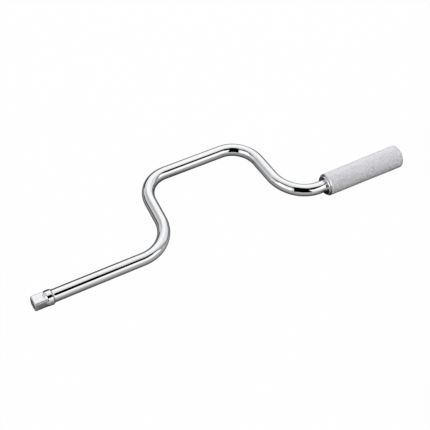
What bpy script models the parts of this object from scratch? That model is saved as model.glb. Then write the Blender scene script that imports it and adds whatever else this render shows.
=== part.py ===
"""Speed brace: a bent steel bar with a square drive at one end and a free-turning grip at the other.

The bar lies in the XY plane. The centre of the drive's tip is the origin, the drive and the grip
share the X axis, and the crank throws out towards +Y. All sizes are in metres.
"""

import math

import bmesh
import bpy
from mathutils import Matrix, Vector

MM = 0.001

# Clearances
SEAT_GAP = 0.3 * MM  # between a piece and the seat that it is pressed into or against
RUN_GAP = 0.3 * MM  # radial, between a turning piece and the shaft that it turns on
END_FLOAT = 0.3 * MM  # axial, between the pieces that hold the grip on its spindle

# Drive head: a square with turned corners, a turned tip and a round collar behind it
DRIVE_SQUARE = 12.7 * MM  # across the flats
DRIVE_LENGTH = 11.0 * MM  # tip to the start of the collar
CORNER_STAND = 1.85 * MM  # how far the turned corners stand out past the flats
TIP_CHAMFER = 0.9 * MM  # length of the chamfer behind the flat tip face
TIP_STEP = 0.45 * MM  # how far that face stays inside the flats
TIP_CORNER_STEP = 1.2 * MM  # how far its corners stay inside the turned corners
COLLAR_STEP = 0.2 * MM  # how far the collar stands out past the corners
COLLAR_NOSE = 3.6 * MM  # length of the cone in front of the collar
COLLAR_LENGTH = 5.6 * MM
NECK_LENGTH = 3.6 * MM  # hollow taper from the collar down to the bar
NECK_HOLLOW = 1.6  # 1 is a straight cone, more is hollower
BLEND_SINK = 0.25 * MM  # how far a taper runs into the shape that it ends on

# Detent in the flat that faces the throw
DETENT_FROM_TIP = 7.2 * MM
BALL_DIAMETER = 4.76 * MM
BALL_PROUD = 1.0 * MM  # how far the ball stands out of its flat
STAKED_LIP = 0.35 * MM  # thickness of the rim that is staked over the ball
LIP_GAP = 0.06 * MM
SPRING_WIRE = 0.5 * MM
SPRING_LENGTH = 5.4 * MM  # between the middles of its end turns
SPRING_TURNS = 5
SPRING_SIDE_GAP = 0.4 * MM
SPRING_END_GAP = 0.1 * MM

# Bar and crank
BAR_DIAMETER = 14.0 * MM
SHANK_LENGTH = 124.5 * MM  # tip to the start of the first bend
INNER_BEND = 40.8 * MM  # centreline radius of the bends beside the axis
OUTER_BEND = 32.6 * MM  # centreline radius of the bends beside the crank handle
BEND_ANGLE = math.radians(85.9)
LEG_STRAIGHT = 26.5 * MM
CRANK_STRAIGHT = 73.7 * MM
GRIP_STANDOFF = 6.1 * MM  # last bend to the front of the grip

# Spindle, turned down from the bar inside the grip
SHOULDER_STEP = 2.0 * MM
SPINDLE_TAIL = 3.0 * MM  # behind the ring groove
SPINDLE_CHAMFER = 0.8 * MM
SPINDLE_ROOT = 6.0 * MM  # how far the spindle reaches into the bar
GROOVE_DEPTH = 0.5 * MM

# Grip
BUSH_WALL = 2.6 * MM
SLEEVE_WALL = 2.65 * MM  # at the front
SLEEVE_TAPER = 0.6 * MM  # how much thicker the wall is at the rear
SLEEVE_LENGTH = 100.2 * MM
SLEEVE_CHAMFER = 0.8 * MM  # at the front
SLEEVE_ROUND = 1.6 * MM  # edge radius at the rear
FLANGE_STEP = 1.25 * MM  # how far the front flange stays inside the sleeve's outside
FLANGE_LENGTH = 1.7 * MM
FLANGE_DOME = 1.5 * MM  # how far the domed front of the flange falls back towards its edge
FLANGE_CROWN = 3.2 * MM  # radial width of that dome
RELIEF_STEP = 1.85 * MM  # depth of the groove between the flange and the sleeve
RELIEF_LENGTH = 0.3 * MM
FRONT_BUSH_LENGTH = 14.0 * MM  # inside the sleeve
REAR_BUSH_LENGTH = 14.0 * MM
BUSH_CHAMFER = 0.8 * MM
CAP_STEP = 2.45 * MM  # how far the cap's rim stays inside the sleeve's outside
CAP_RIM = 0.9 * MM  # thickness of the cap behind the sleeve
CAP_ROUND = 0.6 * MM
CAP_PLUG_LENGTH = 8.0 * MM
CAP_WALL = 1.6 * MM
CAP_SPACE = 10.0 * MM  # free length between the spindle and the cap

# Washers and retaining ring on the spindle
WASHER_SIDE_GAP = 1.0 * MM  # to the bore of the sleeve, which turns around it
WASHER_THICKNESS = 1.2 * MM
RING_THICKNESS = 1.2 * MM
RING_BAND = 1.8 * MM  # height of the ring above the spindle
RING_EAR = 3.4 * MM  # height of its ears above the spindle
RING_GAP_HALF = math.radians(32)
RING_EAR_WIDTH = math.radians(26)
RING_EAR_HOLE = 1.5 * MM

# Fineness of the round shapes
BAR_RINGS_PER_BEND = 11
BAR_SIDES = 28
SIDES = 40
SMALL_SIDES = 24
HOLE_SIDES = 12
COIL_STEPS = 12
COIL_SIDES = 8
ROUND_STEPS = 4
SHARP_ANGLE = math.radians(30)
WELD = 0.0001 * MM

# Diameters that follow from the sizes above
DRIVE_CORNERS = DRIVE_SQUARE + 2 * CORNER_STAND
COLLAR_DIAMETER = DRIVE_CORNERS + 2 * COLLAR_STEP
SPINDLE_DIAMETER = BAR_DIAMETER - 2 * SHOULDER_STEP
GROOVE_DIAMETER = SPINDLE_DIAMETER - 2 * GROOVE_DEPTH
SLEEVE_BORE = BAR_DIAMETER + 2 * (RUN_GAP + BUSH_WALL + SEAT_GAP)
SLEEVE_DIAMETER = SLEEVE_BORE + 2 * SLEEVE_WALL

# Places along the axis
COLLAR_FRONT = DRIVE_LENGTH + COLLAR_NOSE
COLLAR_REAR = COLLAR_FRONT + COLLAR_LENGTH
BEND_SPAN = (INNER_BEND + OUTER_BEND) * math.sin(BEND_ANGLE)
LAST_BEND = SHANK_LENGTH + 2 * (BEND_SPAN + LEG_STRAIGHT * math.cos(BEND_ANGLE)) + CRANK_STRAIGHT
GRIP_FRONT = LAST_BEND + GRIP_STANDOFF
FLANGE_REAR = GRIP_FRONT + FLANGE_LENGTH
RELIEF_REAR = FLANGE_REAR + RELIEF_LENGTH
SLEEVE_FRONT = RELIEF_REAR + SEAT_GAP
SLEEVE_REAR = SLEEVE_FRONT + SLEEVE_LENGTH
CAP_SEAT = SLEEVE_REAR + SEAT_GAP
CAP_FRONT = CAP_SEAT - CAP_PLUG_LENGTH
SPINDLE_END = CAP_FRONT - CAP_SPACE
RING_REAR = SPINDLE_END - SPINDLE_TAIL - END_FLOAT
RING_FRONT = RING_REAR - RING_THICKNESS
END_WASHER_FRONT = RING_FRONT - END_FLOAT - WASHER_THICKNESS
REAR_BUSH_FRONT = END_WASHER_FRONT - END_FLOAT - REAR_BUSH_LENGTH
SHOULDER_WASHER_FRONT = REAR_BUSH_FRONT - END_FLOAT - WASHER_THICKNESS
SHOULDER = SHOULDER_WASHER_FRONT - END_FLOAT

# The detent's places along its own axis, from the drive's centre out
FLAT = DRIVE_SQUARE / 2
BALL_CENTRE = FLAT + BALL_PROUD - BALL_DIAMETER / 2
DETENT_BORE = BALL_DIAMETER + 2 * RUN_GAP
COIL_RADIUS = DETENT_BORE / 2 - SPRING_SIDE_GAP - SPRING_WIRE / 2
BALL_TO_WIRE = BALL_DIAMETER / 2 + SPRING_END_GAP + SPRING_WIRE / 2
SPRING_TOP = BALL_CENTRE - math.sqrt(BALL_TO_WIRE**2 - COIL_RADIUS**2)
SPRING_BOTTOM = SPRING_TOP - SPRING_LENGTH
DETENT_FLOOR = SPRING_BOTTOM - SPRING_WIRE / 2 - SPRING_END_GAP

# Directions that local Z takes when a turned piece is laid down
ALONG_X = Matrix.Rotation(math.pi / 2, 4, "Y")
ALONG_Y = Matrix.Rotation(-math.pi / 2, 4, "X")


def clear_scene():
    for obj in list(bpy.data.objects):
        bpy.data.objects.remove(obj)


def new_collection(name):
    collection = bpy.data.collections.new(name)
    bpy.context.scene.collection.children.link(collection)
    return collection


clear_scene()
PARTS = new_collection("speed_brace")
HELPERS = new_collection("speed_brace_helpers")


def metal(name, colour, roughness):
    """A plain metal material."""
    material = bpy.data.materials.new(name)
    material.use_nodes = True
    shader = material.node_tree.nodes["Principled BSDF"]
    shader.inputs["Base Color"].default_value = (*colour, 1)
    shader.inputs["Metallic"].default_value = 1.0
    shader.inputs["Roughness"].default_value = roughness
    return material


POLISHED_CHROME = ((0.83, 0.84, 0.86), 0.08)
SATIN_CHROME = ((0.80, 0.80, 0.82), 0.38)
BEARING_BRONZE = ((0.62, 0.42, 0.20), 0.40)
SPRING_STEEL = ((0.22, 0.22, 0.24), 0.35)
BRIGHT_STEEL = ((0.66, 0.67, 0.69), 0.22)


def place(obj, at=(0, 0, 0), turn=None):
    """Lays a piece down: local Z along a direction, then moved to its place."""
    obj.matrix_world = Matrix.Translation(Vector(at)) @ (turn or Matrix.Identity(4))
    return obj


def keep(obj, finish):
    """Makes an object one of the brace's pieces, with its own material."""
    PARTS.objects.link(obj)
    obj.data.materials.clear()
    obj.data.materials.append(metal(obj.name, *finish))
    return obj


def helper(obj):
    """Makes an object a hidden operand of a Boolean."""
    HELPERS.objects.link(obj)
    obj.hide_render = True
    obj.display_type = "WIRE"
    return obj


def boolean(obj, operation, operand):
    modifier = obj.modifiers.new(f"{operation.lower()}_{operand.name}", "BOOLEAN")
    modifier.operation = operation
    modifier.solver = "EXACT"
    modifier.object = operand


def spun(name, profile, ring, sides):
    """A profile of (place along the axis, radius), spun about local Z."""
    points = [(radius, 0.0, along) for along, radius in profile]
    edges = [(i, i + 1) for i in range(len(points) - 1)]
    if ring:
        edges.append((len(points) - 1, 0))
    mesh = bpy.data.meshes.new(name)
    mesh.from_pydata(points, edges, [])
    obj = bpy.data.objects.new(name, mesh)
    screw = obj.modifiers.new("spin", "SCREW")
    screw.axis = "Z"
    screw.angle = math.tau
    screw.steps = screw.render_steps = sides
    screw.use_merge_vertices = True
    screw.merge_threshold = WELD
    screw.use_smooth_shade = True
    return obj


def turned(name, outer, sides=SIDES):
    """A turned solid. outer runs from its rear face to its front face."""
    return spun(name, [(outer[0][0], 0.0), *outer, (outer[-1][0], 0.0)], False, sides)


def turned_ring(name, outer, bore):
    """A turned ring. outer runs from the rear to the front and bore from the front to the rear."""
    return spun(name, outer + bore, True, SIDES)


def settled(obj, name):
    """An object as it is evaluated, its loose caps welded, as a plain mesh object in its place."""
    bpy.context.scene.collection.objects.link(obj)
    bpy.context.view_layer.update()
    graph = bpy.context.evaluated_depsgraph_get()
    mesh = bpy.data.meshes.new_from_object(obj.evaluated_get(graph))
    matrix = obj.matrix_world.copy()
    bpy.data.objects.remove(obj)
    welded = bmesh.new()
    welded.from_mesh(mesh)
    bmesh.ops.remove_doubles(welded, verts=welded.verts, dist=WELD)
    welded.to_mesh(mesh)
    welded.free()
    mesh.shade_smooth()
    mesh.set_sharp_from_angle(angle=SHARP_ANGLE)
    made = bpy.data.objects.new(name, mesh)
    made.matrix_world = matrix
    return made


def round_bar(name, route, diameter, sides):
    """A round bar or wire along a route of points."""
    curve = bpy.data.curves.new(name, "CURVE")
    curve.dimensions = "3D"
    curve.twist_mode = "Z_UP"
    curve.bevel_depth = diameter / 2
    curve.bevel_resolution = sides // 2 - 2
    curve.use_fill_caps = True
    spline = curve.splines.new("POLY")
    spline.points.add(len(route) - 1)
    for point, at in zip(spline.points, route):
        point.co = (*at, 1)
    return bpy.data.objects.new(name, curve)


def rear_round(along, radius, size):
    """A quarter round on the rear edge of a turned piece, from its face to its outside."""
    angles = [math.pi / 2 * step / ROUND_STEPS for step in range(ROUND_STEPS + 1)]
    return [(along - size * (1 - math.cos(a)), radius - size * (1 - math.sin(a))) for a in angles]


def front_dome(along, radius, depth, width):
    """A domed front of a turned piece, from its outside to its face: a quarter of an ellipse."""
    angles = [math.pi / 2 * step / ROUND_STEPS for step in range(ROUND_STEPS + 1)]
    return [(along + depth * (1 - math.sin(a)), radius - width * (1 - math.cos(a))) for a in angles]


def bar_route():
    """Centreline of the bar, from inside the collar to the shoulder inside the grip."""
    route = [Vector((COLLAR_FRONT + COLLAR_LENGTH / 2, 0, 0)), Vector((SHANK_LENGTH, 0, 0))]
    heading = 0.0

    def left():
        return Vector((-math.sin(heading), math.cos(heading), 0))

    def go(length):
        route.append(route[-1] + length * Vector((math.cos(heading), math.sin(heading), 0)))

    def bend(radius, angle):
        nonlocal heading
        side = math.copysign(radius, angle)
        centre = route[-1] + side * left()
        for _ in range(BAR_RINGS_PER_BEND):
            heading += angle / BAR_RINGS_PER_BEND
            route.append(centre - side * left())

    bend(INNER_BEND, BEND_ANGLE)
    go(LEG_STRAIGHT)
    bend(OUTER_BEND, -BEND_ANGLE)
    go(CRANK_STRAIGHT)
    bend(OUTER_BEND, -BEND_ANGLE)
    go(LEG_STRAIGHT)
    bend(INNER_BEND, BEND_ANGLE)
    go(SHOULDER - LAST_BEND)
    return route


def drive_square():
    """The square of the drive, its tip chamfered and its corners turned round."""
    box = bmesh.new()
    bmesh.ops.create_cube(box, size=1)
    bmesh.ops.scale(box, vec=(COLLAR_FRONT, DRIVE_SQUARE, DRIVE_SQUARE), verts=box.verts)
    bmesh.ops.translate(box, vec=(COLLAR_FRONT / 2, 0, 0), verts=box.verts)
    everything = box.verts[:] + box.edges[:] + box.faces[:]
    bmesh.ops.bisect_plane(box, geom=everything, plane_co=(TIP_CHAMFER, 0, 0), plane_no=(1, 0, 0))
    tip = [vert for vert in box.verts if vert.co.x < TIP_CHAMFER / 2]
    tip_scale = 1 - 2 * TIP_STEP / DRIVE_SQUARE
    bmesh.ops.scale(box, vec=(1, tip_scale, tip_scale), verts=tip)
    mesh = bpy.data.meshes.new("drive_square")
    box.to_mesh(mesh)
    box.free()
    square = bpy.data.objects.new("drive_square", mesh)
    corner = DRIVE_CORNERS / 2
    blank = turned(
        "drive_blank",
        [(COLLAR_REAR, corner), (TIP_CHAMFER, corner), (-TIP_CHAMFER, corner - 2 * TIP_CORNER_STEP)],
    )
    boolean(square, "INTERSECT", helper(place(blank, turn=ALONG_X)))
    return square


def drive_collar():
    """The round collar behind the drive, with the hollow neck that runs down to the bar."""
    radius = COLLAR_DIAMETER / 2
    foot = BAR_DIAMETER / 2 - BLEND_SINK
    neck = []
    for step in range(ROUND_STEPS + 1):
        climb = step / ROUND_STEPS
        height = (radius - foot) * climb**NECK_HOLLOW
        neck.append((COLLAR_REAR + NECK_LENGTH * (1 - climb), foot + height))
    nose = [(COLLAR_FRONT, radius), (DRIVE_LENGTH, DRIVE_SQUARE / 2 - BLEND_SINK)]
    return turned("drive_collar", neck + nose)


def bar_spindle():
    """The turned-down end of the bar that carries the grip, with the groove for the ring."""
    radius = SPINDLE_DIAMETER / 2
    groove = GROOVE_DIAMETER / 2
    groove_rear = RING_REAR + END_FLOAT
    groove_front = RING_FRONT - END_FLOAT
    outline = [
        (SPINDLE_END, radius - SPINDLE_CHAMFER),
        (SPINDLE_END - SPINDLE_CHAMFER, radius),
        (groove_rear, radius),
        (groove_rear, groove),
        (groove_front, groove),
        (groove_front, radius),
        (SHOULDER - SPINDLE_ROOT, radius),
    ]
    return turned("bar_spindle", outline, SMALL_SIDES)


def detent_hole():
    """The blind hole for the ball and spring, with its mouth staked narrower than the ball."""
    under_lip = FLAT - STAKED_LIP
    mouth = math.sqrt((BALL_DIAMETER / 2 + LIP_GAP) ** 2 - (under_lip - BALL_CENTRE) ** 2)
    outline = [
        (FLAT + BALL_DIAMETER, mouth),
        (under_lip, mouth),
        (under_lip, DETENT_BORE / 2),
        (DETENT_FLOOR, DETENT_BORE / 2),
    ]
    return turned("detent_hole", outline, SMALL_SIDES)


def crank_bar():
    """The one-piece bar: drive head, shank, crank and spindle."""
    route = round_bar("crank_bar_route", bar_route(), BAR_DIAMETER, BAR_SIDES)
    bar = settled(route, "crank_bar")
    boolean(bar, "UNION", helper(place(drive_collar(), turn=ALONG_X)))
    boolean(bar, "UNION", helper(drive_square()))
    boolean(bar, "UNION", helper(place(bar_spindle(), turn=ALONG_X)))
    boolean(bar, "DIFFERENCE", helper(place(detent_hole(), (DETENT_FROM_TIP, 0, 0), ALONG_Y)))
    keep(bar, POLISHED_CHROME)


def detent_ball():
    """The steel ball that holds a socket on the drive."""
    ball = bmesh.new()
    bmesh.ops.create_uvsphere(
        ball,
        u_segments=SMALL_SIDES,
        v_segments=SMALL_SIDES // 2,
        radius=BALL_DIAMETER / 2,
    )
    mesh = bpy.data.meshes.new("detent_ball")
    ball.to_mesh(mesh)
    ball.free()
    mesh.shade_smooth()
    obj = bpy.data.objects.new("detent_ball", mesh)
    keep(place(obj, (DETENT_FROM_TIP, BALL_CENTRE, 0), ALONG_Y), BRIGHT_STEEL)


def detent_spring():
    """The coil spring between the floor of the hole and the underside of the ball."""
    count = SPRING_TURNS * COIL_STEPS
    route = []
    for step in range(count + 1):
        angle = math.tau * step / COIL_STEPS
        height = SPRING_BOTTOM + SPRING_LENGTH * step / count
        route.append((*polar(COIL_RADIUS, angle), height))
    spring = round_bar("detent_spring", route, SPRING_WIRE, COIL_SIDES)
    keep(place(spring, (DETENT_FROM_TIP, 0, 0), ALONG_Y), SPRING_STEEL)


def front_bush():
    """The flanged bush at the front of the grip: its polished flange is the ring that shows."""
    bore = BAR_DIAMETER / 2 + RUN_GAP
    body = bore + BUSH_WALL
    flange = SLEEVE_DIAMETER / 2 - FLANGE_STEP
    relief = SLEEVE_DIAMETER / 2 - RELIEF_STEP
    rear = SLEEVE_FRONT + FRONT_BUSH_LENGTH
    outer = [
        (rear, body - BUSH_CHAMFER),
        (rear - BUSH_CHAMFER, body),
        (RELIEF_REAR, body),
        (RELIEF_REAR, relief),
        (FLANGE_REAR, relief),
        (FLANGE_REAR, flange),
        *front_dome(GRIP_FRONT, flange, FLANGE_DOME, FLANGE_CROWN),
    ]
    inner = [
        (GRIP_FRONT, bore + BUSH_CHAMFER),
        (GRIP_FRONT + BUSH_CHAMFER, bore),
        (rear, bore),
    ]
    keep(place(turned_ring("front_bush", outer, inner), turn=ALONG_X), POLISHED_CHROME)


def grip_sleeve():
    """The knurled tube of the grip, a little thicker towards its rear."""
    radius = SLEEVE_DIAMETER / 2
    outer = [
        *rear_round(SLEEVE_REAR, radius + SLEEVE_TAPER, SLEEVE_ROUND),
        (SLEEVE_FRONT + SLEEVE_CHAMFER, radius),
        (SLEEVE_FRONT, radius - SLEEVE_CHAMFER),
    ]
    inner = [(SLEEVE_FRONT, SLEEVE_BORE / 2), (SLEEVE_REAR, SLEEVE_BORE / 2)]
    keep(place(turned_ring("grip_sleeve", outer, inner), turn=ALONG_X), SATIN_CHROME)


def rear_bush():
    """The plain bush that turns on the spindle, pressed into the sleeve."""
    bore = SPINDLE_DIAMETER / 2 + RUN_GAP
    body = SLEEVE_BORE / 2 - SEAT_GAP
    rear = REAR_BUSH_FRONT + REAR_BUSH_LENGTH
    outer = [
        (rear, body - BUSH_CHAMFER),
        (rear - BUSH_CHAMFER, body),
        (REAR_BUSH_FRONT + BUSH_CHAMFER, body),
        (REAR_BUSH_FRONT, body - BUSH_CHAMFER),
    ]
    inner = [(REAR_BUSH_FRONT, bore), (rear, bore)]
    keep(place(turned_ring("rear_bush", outer, inner), turn=ALONG_X), BEARING_BRONZE)


def washer(name, front):
    """A flat thrust washer on the spindle."""
    rear = front + WASHER_THICKNESS
    outside = SLEEVE_BORE / 2 - WASHER_SIDE_GAP
    hole = SPINDLE_DIAMETER / 2 + RUN_GAP
    ring = turned_ring(name, [(rear, outside), (front, outside)], [(front, hole), (rear, hole)])
    keep(place(ring, turn=ALONG_X), BRIGHT_STEEL)


def polar(radius, angle):
    return (radius * math.cos(angle), radius * math.sin(angle))


def arc(radius, start, end, steps):
    """Points along an arc, both ends included."""
    return [polar(radius, start + (end - start) * step / steps) for step in range(steps + 1)]


def closed_spline(curve, points):
    spline = curve.splines.new("POLY")
    spline.use_cyclic_u = True
    spline.points.add(len(points) - 1)
    for point, (x, y) in zip(spline.points, points):
        point.co = (x, y, 0, 1)


def retaining_ring():
    """The snap ring in the spindle's groove: a flat C with an ear on each side of its gap."""
    inside = GROOVE_DIAMETER / 2 + RUN_GAP
    ear = SPINDLE_DIAMETER / 2 + RING_EAR
    band = SPINDLE_DIAMETER / 2 + RING_BAND
    start = RING_GAP_HALF
    end = math.tau - RING_GAP_HALF
    outline = [
        polar(ear, start),
        polar(ear, start + RING_EAR_WIDTH),
        *arc(band, start + RING_EAR_WIDTH, end - RING_EAR_WIDTH, SMALL_SIDES),
        polar(ear, end - RING_EAR_WIDTH),
        polar(ear, end),
        *arc(inside, end, start, SMALL_SIDES),
    ]
    curve = bpy.data.curves.new("retaining_ring", "CURVE")
    curve.dimensions = "2D"
    curve.fill_mode = "BOTH"
    curve.extrude = RING_THICKNESS / 2
    closed_spline(curve, outline)
    for side in (1, -1):
        centre_x, centre_y = polar((inside + ear) / 2, side * (start + RING_EAR_WIDTH / 2))
        rim = arc(RING_EAR_HOLE / 2, 0, math.tau, HOLE_SIDES)[:-1]
        closed_spline(curve, [(centre_x + x, centre_y + y) for x, y in rim])
    ring = settled(bpy.data.objects.new("retaining_ring_outline", curve), "retaining_ring")
    keep(place(ring, ((RING_FRONT + RING_REAR) / 2, 0, 0), ALONG_X), SPRING_STEEL)


def end_cap():
    """The cup that closes the rear of the sleeve, its rounded rim against the sleeve's end."""
    plug = SLEEVE_BORE / 2 - SEAT_GAP
    rim = SLEEVE_DIAMETER / 2 + SLEEVE_TAPER - CAP_STEP
    outline = [
        *rear_round(CAP_SEAT + CAP_RIM, rim, CAP_ROUND),
        (CAP_SEAT, rim),
        (CAP_SEAT, plug),
        (CAP_FRONT, plug),
        (CAP_FRONT, plug - CAP_WALL),
        (CAP_SEAT, plug - CAP_WALL),
    ]
    keep(place(turned("end_cap", outline), turn=ALONG_X), POLISHED_CHROME)


crank_bar()
detent_ball()
detent_spring()
front_bush()
grip_sleeve()
rear_bush()
washer("shoulder_washer", SHOULDER_WASHER_FRONT)
washer("end_washer", END_WASHER_FRONT)
retaining_ring()
end_cap()
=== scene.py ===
import math

import bmesh
import bpy
from mathutils import Matrix, Vector
from mathutils.kdtree import KDTree


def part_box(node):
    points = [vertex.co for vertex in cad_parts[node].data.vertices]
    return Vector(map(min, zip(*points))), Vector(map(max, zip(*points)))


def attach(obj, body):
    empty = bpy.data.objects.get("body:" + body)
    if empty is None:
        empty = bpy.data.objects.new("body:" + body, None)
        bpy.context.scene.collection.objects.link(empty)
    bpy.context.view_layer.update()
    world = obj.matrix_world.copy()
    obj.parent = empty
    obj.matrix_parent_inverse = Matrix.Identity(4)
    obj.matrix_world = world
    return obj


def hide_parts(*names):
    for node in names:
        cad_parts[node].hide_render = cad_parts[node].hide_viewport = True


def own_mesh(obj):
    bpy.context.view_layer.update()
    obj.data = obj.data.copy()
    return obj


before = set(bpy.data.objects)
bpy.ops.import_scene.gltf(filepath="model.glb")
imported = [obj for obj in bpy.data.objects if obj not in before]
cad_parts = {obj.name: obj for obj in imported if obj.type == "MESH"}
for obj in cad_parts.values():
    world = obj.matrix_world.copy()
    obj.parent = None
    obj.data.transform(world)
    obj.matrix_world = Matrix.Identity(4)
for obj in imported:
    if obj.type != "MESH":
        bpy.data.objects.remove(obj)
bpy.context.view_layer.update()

# Crank bar: one steel bar, bent into a crank, polished bright and chrome plated.
# Its drive end is upset and milled square, then turned so that the corners stay round.
# Its other end is turned down to a spindle that stays inside the grip.
MM = 0.001
BAR_RADIUS = 7.0
DRIVE_HALF = 6.35
DRIVE_CORNER = 8.2
TIP_CHAMFER = 0.9
TIP_STEP = 0.45
TIP_CORNER_STEP = 1.2
TIP_EDGE = 0.25
TIP_EDGE_RINGS = 5
NOSE_FRONT = 11.0
NOSE_RADIUS = 6.1
COLLAR_FRONT = 14.6
COLLAR_REAR = 20.2
COLLAR_RADIUS = 8.4
NECK_END = 23.8
NECK_FOOT = 6.75
NECK_HOLLOW = 2.2
EDGE_SOFTNESS = 0.28
CORNER_SOFTNESS = 0.85
HEAD_END = 26.0
EDGE_ROOM = 0.6
# Each stretch of the head has a name, the place where it ends and its number of rings.
HEAD_STRETCHES = [
    ("tip chamfer", TIP_CHAMFER + 2 * TIP_EDGE, 14),
    ("flats", NOSE_FRONT, 12),
    ("cone", COLLAR_FRONT + EDGE_ROOM, 44),
    ("collar", COLLAR_REAR - EDGE_ROOM, 5),
    ("rear edge", COLLAR_REAR + EDGE_ROOM, 14),
    ("neck", HEAD_END, 18),
]
SHANK_END = 124.5
INNER_BEND = 40.8
OUTER_BEND = 32.6
BEND_ANGLE = math.radians(85.9)
LEG_STRAIGHT = 26.5
CRANK_STRAIGHT = 73.7
SHOULDER_CHAMFER = 0.4
SPINDLE_RADIUS = 5.0
SPINDLE_FILLET = 0.3
SPINDLE_CHAMFER = 0.8
GROOVE_DEPTH = 0.5
END_FLOAT = 0.3
DETENT_FROM_TIP = 7.2
DETENT_FLOOR = -2.605
DETENT_RADIUS = 2.68
UNDER_LIP = 6.0
MOUTH_RADIUS = 2.21
DRILL_REACH = 12.0
DETENT_SIDES = 48
BAR_SIDES = 240
BEND_RINGS = 46
RING_SPACING = 8.0
FLAT_TOLERANCE = 0.002
SHARP_EDGE = math.radians(32)
BAR_SHADES = ((0.84, 0.85, 0.87, 1), (0.88, 0.885, 0.90, 1))
FLAT_SHADES = ((0.86, 0.86, 0.88, 1), (0.95, 0.95, 0.97, 1))


def span(node):
    """The lowest and the highest corner of a solid, in millimetres."""
    low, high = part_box(node)
    return low / MM, high / MM


SPINDLE_END = span("crank_bar")[1].x
SHOULDER = span("shoulder_washer")[0].x - END_FLOAT
GROOVE_FRONT = span("retaining_ring")[0].x - END_FLOAT
GROOVE_REAR = span("retaining_ring")[1].x + END_FLOAT


def soft_least(first, second, softness):
    """The smaller of two radii, with the edge between them rounded off."""
    overlap = max(softness - abs(first - second), 0.0) / softness
    return min(first, second) - overlap * overlap * softness / 4


def soft_most(first, second, softness):
    """The larger of two radii, with the corner between them filleted."""
    return -soft_least(-first, -second, softness)


def square_radius(angle, half=DRIVE_HALF):
    """Distance from the axis to the side of a square."""
    return half / max(abs(math.cos(angle)), abs(math.sin(angle)))


def drive_radius(along, angle):
    """The milled square with its turned corners, both chamfered at the tip."""
    chamfer = along / TIP_CHAMFER - 1
    half = soft_least(DRIVE_HALF + TIP_STEP * chamfer, DRIVE_HALF, EDGE_SOFTNESS / 3)
    corner = soft_least(DRIVE_CORNER + TIP_CORNER_STEP * chamfer, DRIVE_CORNER, EDGE_SOFTNESS)
    return soft_least(square_radius(angle, half), corner, CORNER_SOFTNESS)


def collar_radius(along):
    """The cone in front of the collar, the collar, and the hollow neck behind it."""
    nose_slope = (COLLAR_RADIUS - NOSE_RADIUS) / (COLLAR_FRONT - NOSE_FRONT)
    nose = NOSE_RADIUS + nose_slope * (along - NOSE_FRONT)
    body = soft_least(nose, COLLAR_RADIUS, EDGE_SOFTNESS)
    climb = (NECK_END - along) / (NECK_END - COLLAR_REAR)
    neck = NECK_FOOT + (COLLAR_RADIUS - NECK_FOOT) * max(climb, 0.0) ** NECK_HOLLOW
    return soft_least(body, neck, EDGE_SOFTNESS)


def head_radius(along, angle):
    """Outside of the drive head at a place along the axis and an angle about it."""
    if along < COLLAR_FRONT:
        return soft_most(drive_radius(along, angle), collar_radius(along), EDGE_SOFTNESS)
    if along < COLLAR_REAR:
        return collar_radius(along)
    return soft_most(collar_radius(along), BAR_RADIUS, EDGE_SOFTNESS)


def spread(start, end, count):
    """Evenly spaced places, the end left out."""
    return [start + (end - start) * step / count for step in range(count)]


def bar_route():
    """Rings along the bar behind its head, as (centre, heading)."""
    place = Vector((HEAD_END, 0, 0))
    heading = 0.0
    route = []

    def straight(length):
        nonlocal place
        count = max(round(length / RING_SPACING), 2)
        start = place.copy()
        ahead = Vector((math.cos(heading), math.sin(heading), 0))
        stops = [EDGE_ROOM, *spread(0, length, count)[1:], length - EDGE_ROOM, length]
        for done in stops:
            route.append((start + done * ahead, heading))
        place = start + length * ahead

    def bend(radius, angle):
        nonlocal place, heading
        side = math.copysign(radius, angle)
        centre = place + side * Vector((-math.sin(heading), math.cos(heading), 0))
        for _ in range(BEND_RINGS):
            heading += angle / BEND_RINGS
            place = centre - side * Vector((-math.sin(heading), math.cos(heading), 0))
            route.append((place, heading))

    straight(SHANK_END - HEAD_END)
    bend(INNER_BEND, BEND_ANGLE)
    straight(LEG_STRAIGHT)
    bend(OUTER_BEND, -BEND_ANGLE)
    straight(CRANK_STRAIGHT)
    bend(OUTER_BEND, -BEND_ANGLE)
    straight(LEG_STRAIGHT)
    bend(INNER_BEND, BEND_ANGLE)
    straight(SHOULDER - SHOULDER_CHAMFER - place.x)
    return route


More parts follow.
